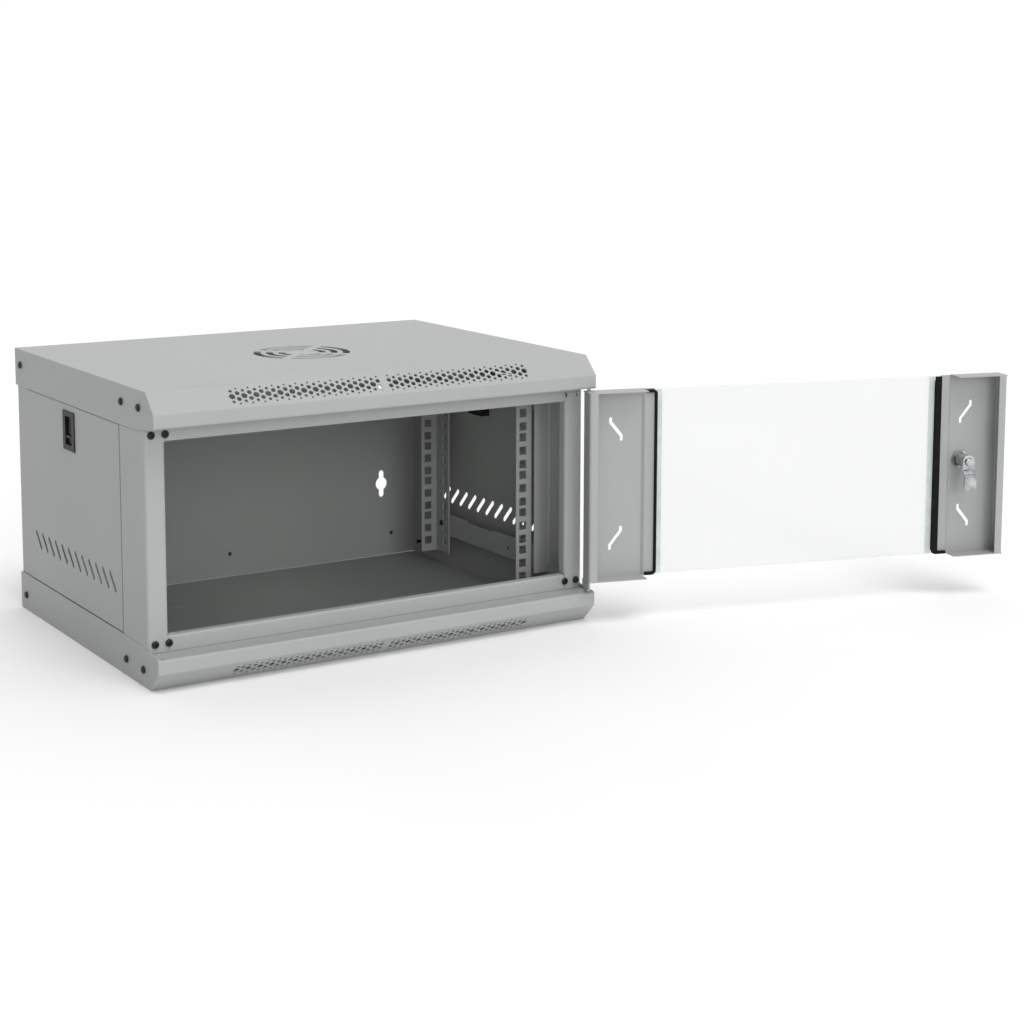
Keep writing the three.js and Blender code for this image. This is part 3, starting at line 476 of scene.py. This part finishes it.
def aimed(place, outward):
    """The matrix that seats a shape drawn along +Z on a face that looks outward."""
    return Matrix.Translation(place) @ outward.to_track_quat("Z", "Y").to_matrix().to_4x4()


# ---------------------------------------------------------------------------
# Covers
# ---------------------------------------------------------------------------


def perforation(sign):
    """Cutter for one bevel's holes; sign is +1 on the top cover, -1 on the bottom one."""
    slope = Vector((0, BEVEL_RUN, sign * BEVEL_RISE)).normalized()
    normal = Vector((0, -BEVEL_RISE, sign * BEVEL_RUN)).normalized()
    outer = TOP if sign > 0 else BOTTOM
    middle = Vector((0, FRONT + BEVEL_RUN / 2, outer - sign * BEVEL_RISE / 2))
    bm = bmesh.new()
    for offset, diameter, phase in HOLE_ROWS:
        rows = (1, -1) if offset else (1,)
        segments = 12 if diameter > 4 else 8
        for row in rows:
            place = middle + slope * (row * offset * MM)
            for k in range(1, HOLES_EACH_SIDE + 1):
                for side in (1, -1):
                    x = side * (k - phase) * HOLE_PITCH
                    spot = place + X_AXIS * x
                    add_cylinder(bm, spot, normal, diameter * MM / 2, HOLE_CUT, segments)
    return new_object("perforation", bm, MATERIALS["powder_coat"])


def knock_outs():
    """Cutter for the cable knock-outs of the floor: arcs that leave a disc held by webs."""
    bm = bmesh.new()
    for centre_x, centre_y in KNOCK_OUTS:
        for start in KNOCK_OUT_STARTS:
            angles = [math.radians(start + turn) for turn in range(0, KNOCK_OUT_SWEEP + 1, 10)]
            turns = [(KNOCK_OUT_RADIUS, angle) for angle in angles]
            turns += [(KNOCK_OUT_INNER, angle) for angle in reversed(angles)]
            ring = [
                (centre_x + radius * math.cos(angle), centre_y + radius * math.sin(angle))
                for radius, angle in turns
            ]
            add_column(bm, ring, *KNOCK_OUT_Z)
    bmesh.ops.recalc_face_normals(bm, faces=bm.faces)
    return new_object("knock_outs", bm, MATERIALS["powder_coat"])


def build_covers():
    """Both covers with their perforated bevels, and the knock-outs in the lower one."""
    for node, sign in (("top_cover", 1), ("bottom_cover", -1)):
        cover = refined(node)
        subtract(cover, perforation(sign))
        if sign < 0:
            subtract(cover, knock_outs())
        shade(cover)


# ---------------------------------------------------------------------------
# Screws
# ---------------------------------------------------------------------------


def screw_mesh(head_radius, head_height, material):
    """Screw along +Z with a domed head and a cross recess; its seat is at the origin."""
    tip = -SHANK_LENGTH
    profile = [(0.0, tip), (SHANK_RADIUS * 0.7, tip)]
    profile += [(SHANK_RADIUS, tip + SHANK_RADIUS * 0.4), (SHANK_RADIUS, 0.0)]
    profile += [(head_radius * 0.97, 0.0), (head_radius, head_height * 0.12)]
    for i in range(7):
        angle = math.radians(90 * i / 6)
        across = head_radius * (0.55 + 0.45 * math.cos(angle))
        up = head_height * (0.3 + 0.7 * math.sin(angle))
        profile.append((across, up))
    profile.append((0.0, head_height))
    bm = lathe(profile, 24)
    bmesh.ops.recalc_face_normals(bm, faces=bm.faces)
    screw = new_object("screw", bm, MATERIALS[material])
    for turn in (0, 90):
        subtract(screw, recess_blade(head_radius, head_height, turn))
    shade(screw)
    mesh = screw.data
    bpy.data.objects.remove(screw)
    return mesh


def recess_blade(head_radius, head_height, turn):
    """Cutter of one slot of a cross recess, narrower towards its bottom."""
    bm = bmesh.new()
    bmesh.ops.create_cube(bm, size=2)
    for vert in bm.verts:
        is_top = vert.co.z > 0
        vert.co.x *= head_radius * (0.58 if is_top else 0.26)
        vert.co.y *= head_radius * (0.13 if is_top else 0.08)
        vert.co.z = head_height * (1.4 if is_top else 0.35)
    bm.transform(Matrix.Rotation(math.radians(turn), 4, "Z"))
    return new_object("recess", bm, MATERIALS["black_steel"])


def build_screws():
    """One recessed screw for every CAD screw, each turned differently."""
    pan_head = screw_mesh(PAN_RADIUS, PAN_HEIGHT, "black_steel")
    flat_head = screw_mesh(FLAT_RADIUS, FLAT_HEIGHT, "chrome")
    for index, node in enumerate(SCREWS):
        low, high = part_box(node)
        middle = (low + high) / 2
        is_flat = node.startswith(FLAT_SCREWS)
        height = FLAT_HEIGHT if is_flat else PAN_HEIGHT
        if node.startswith("front"):
            outward = -Y_AXIS
            seat = Vector((middle.x, low.y + height, middle.z))
        elif middle.x < 0:
            outward = -X_AXIS
            seat = Vector((low.x + height, middle.y, middle.z))
        else:
            outward = X_AXIS
            seat = Vector((high.x - height, middle.y, middle.z))
        mesh = flat_head if is_flat else pan_head
        piece = bpy.data.objects.new(f"{node}_visual", mesh.copy())
        bpy.context.scene.collection.objects.link(piece)
        turn = Matrix.Rotation(RECESS_TURN * index, 4, "Z")
        piece.data.transform(aimed(seat, outward) @ turn)
        adopt(piece, node)


# ---------------------------------------------------------------------------
# Everything else that keeps its CAD shape
# ---------------------------------------------------------------------------


def build_refined():
    """The pieces that need no more than rounded edges."""
    built_elsewhere = {"top_cover", "bottom_cover", "door_glass", *SCREWS, *SPRINGS}
    for node in sorted(set(BODY_OF) - built_elsewhere):
        refined(node)


def colour_springs():
    """The springs keep their CAD mesh and only take their finish."""
    for node in SPRINGS:
        frame["nodes"][node].data.materials.clear()
        frame["nodes"][node].data.materials.append(MATERIALS["spring_steel"])


def build_glass():
    """The pane, with its ground edges in their own colour."""
    piece = refined("door_glass", bend=GLASS_ROUND, edge_round=GLASS_ROUND)
    piece.data.materials.append(GLASS_EDGE)
    pane = max(piece.data.polygons, key=lambda face: face.area).normal.copy()
    for face in piece.data.polygons:
        face.material_index = 0 if abs(face.normal.dot(pane)) > 0.99 else 1


# ---------------------------------------------------------------------------
# Small pieces with no CAD node of their own
# ---------------------------------------------------------------------------


def swing(piece):
    """Turns a piece that was drawn on the closed door to the door's place."""
    hinge = Vector(DOOR_JOINT["pos_m"])
    turn = Matrix.Rotation(DOOR_OPEN, 4, "Z")
    piece.data.transform(Matrix.Translation(hinge) @ turn @ Matrix.Translation(-hinge))


def add_block(bm, low, high):
    """A closed box between two drawn corners."""
    first = drawn(*low)
    second = drawn(*high)
    for vert in bmesh.ops.create_cube(bm, size=1)["verts"]:
        for axis in range(3):
            at_high = vert.co[axis] > 0
            vert.co[axis] = second[axis] if at_high else first[axis]


def build_tape():
    """Bands of bonding tape on the pane's inner face, one beside each gasket."""
    tape_back = GLASS_BACK + TAPE_THICKNESS
    for index, (start, end) in enumerate(TAPE_SPANS):
        bm = bmesh.new()
        add_block(bm, (start, GLASS_BACK, TAPE_Z[0]), (end, tape_back, TAPE_Z[1]))
        tape = new_object(f"bonding_tape_{index}", bm, BONDING_TAPE)
        swing(tape)
        trim(tape, "door")


def dome_mesh(radius, height):
    """A domed head along +Z as a bmesh, with its seat at the origin."""
    profile = [(radius, -0.1 * height), (radius, 0.15 * height)]
    for step in range(1, 6):
        angle = math.radians(90 * step / 5)
        profile.append((radius * math.cos(angle), height * (0.15 + 0.85 * math.sin(angle))))
    bm = lathe(profile, 16)
    bmesh.ops.holes_fill(bm, edges=bm.edges)
    bmesh.ops.recalc_face_normals(bm, faces=bm.faces)
    return bm


def add_dome(name, place, outward, size):
    """A black domed head seated on a face of the cabinet."""
    radius, height = size
    bm = dome_mesh(radius * MM, height * MM)
    bm.transform(aimed(drawn(*place), outward))
    piece = new_object(name, bm, MATERIALS["black_steel"])
    shade(piece)
    trim(piece, "cabinet")


def build_small_screws():
    """Screws along the back panel's foot, and those that hold the rails to the brackets."""
    for index, x in enumerate(FOOT_SCREWS_X):
        place = (x, BACK_INNER_Y, FOOT_SCREWS_Z)
        add_dome(f"foot_screw_{index}", place, -Y_AXIS, FOOT_SCREW)
    for side, outward in (("left", X_AXIS), ("right", -X_AXIS)):
        x = RAIL_SIDE_X if side == "left" else CABINET_WIDTH - RAIL_SIDE_X
        for level, z in RAIL_SCREWS_Z.items():
            for end, y in RAIL_SCREWS_Y.items():
                add_dome(f"rail_screw_{level}_{end}_{side}", (x, y, z), outward, RAIL_SCREW)


# ---------------------------------------------------------------------------
# Stage, light and camera
# ---------------------------------------------------------------------------


def build_stage():
    """A plain pale floor."""
    bm = bmesh.new()
    bmesh.ops.create_grid(bm, x_segments=1, y_segments=1, size=30)
    shader = Shader("floor_paint", Roughness=0.8, Specular_IOR_Level=0.1)
    shader.colours(shader.noise(2.0), (0.86, 0.86, 0.86), (0.88, 0.88, 0.88))
    floor = new_object("floor", bm, shader.material)


def build_light():
    """Soft white surroundings, dimmer on the left and in front, and broad far lamps."""
    bpy.context.scene.view_settings.view_transform = "Standard"
    world = bpy.data.worlds.new("studio")
    world.use_nodes = True
    tree = world.node_tree
    coords = tree.nodes.new("ShaderNodeTexCoord")
    side = tree.nodes.new("ShaderNodeVectorMath")
    side.operation = "DOT_PRODUCT"
    side.inputs[1].default_value = WORLD_BRIGHT_SIDE
    ramp = tree.nodes.new("ShaderNodeMapRange")
    for socket, value in WORLD_RAMP.items():
        ramp.inputs[socket].default_value = value
    background = tree.nodes["Background"]
    background.inputs["Color"].default_value = (1, 1, 1, 1)
    tree.links.new(coords.outputs["Generated"], side.inputs[0])
    tree.links.new(side.outputs["Value"], ramp.inputs["Value"])
    tree.links.new(ramp.outputs["Result"], background.inputs["Strength"])
    bpy.context.scene.world = world
    for name, (direction, strength, angle) in SUNS.items():
        add_sun(name, direction, strength, angle)


def add_sun(name, direction, strength, angle):
    """A broad far lamp that shines from a direction, soft as its angle is wide."""
    light = bpy.data.lights.new(name, "SUN")
    light.energy = strength
    light.angle = math.radians(angle)
    made = bpy.data.objects.new(name, light)
    made.rotation_mode = "QUATERNION"
    made.rotation_quaternion = Vector(direction).to_track_quat("Z", "Y")
    bpy.context.scene.collection.objects.link(made)


def build_camera():
    """The camera in front of the cabinet's left corner, looking slightly down."""
    azimuth = math.radians(CAMERA_AZIMUTH)
    elevation = math.radians(CAMERA_ELEVATION)
    roll = math.radians(CAMERA_ROLL)
    back = Vector(
        (
            math.sin(azimuth) * math.cos(elevation),
            -math.cos(azimuth) * math.cos(elevation),
            math.sin(elevation),
        )
    )
    camera = bpy.data.cameras.new("camera")
    camera.sensor_width = 36.0
    camera.lens = CAMERA_LENS
    camera.shift_y = CAMERA_SHIFT
    made = bpy.data.objects.new("camera", camera)
    made.location = CAMERA_PLACE
    made.rotation_mode = "QUATERNION"
    aim = (-back).to_track_quat("-Z", "Y")
    made.rotation_quaternion = aim @ Matrix.Rotation(roll, 3, "Z").to_quaternion()
    bpy.context.scene.collection.objects.link(made)
    bpy.context.scene.camera = made


build_covers()
build_screws()
build_refined()
colour_springs()
build_glass()
build_tape()
build_small_screws()
build_stage()
build_light()
build_camera()

bpy.context.view_layer.update()
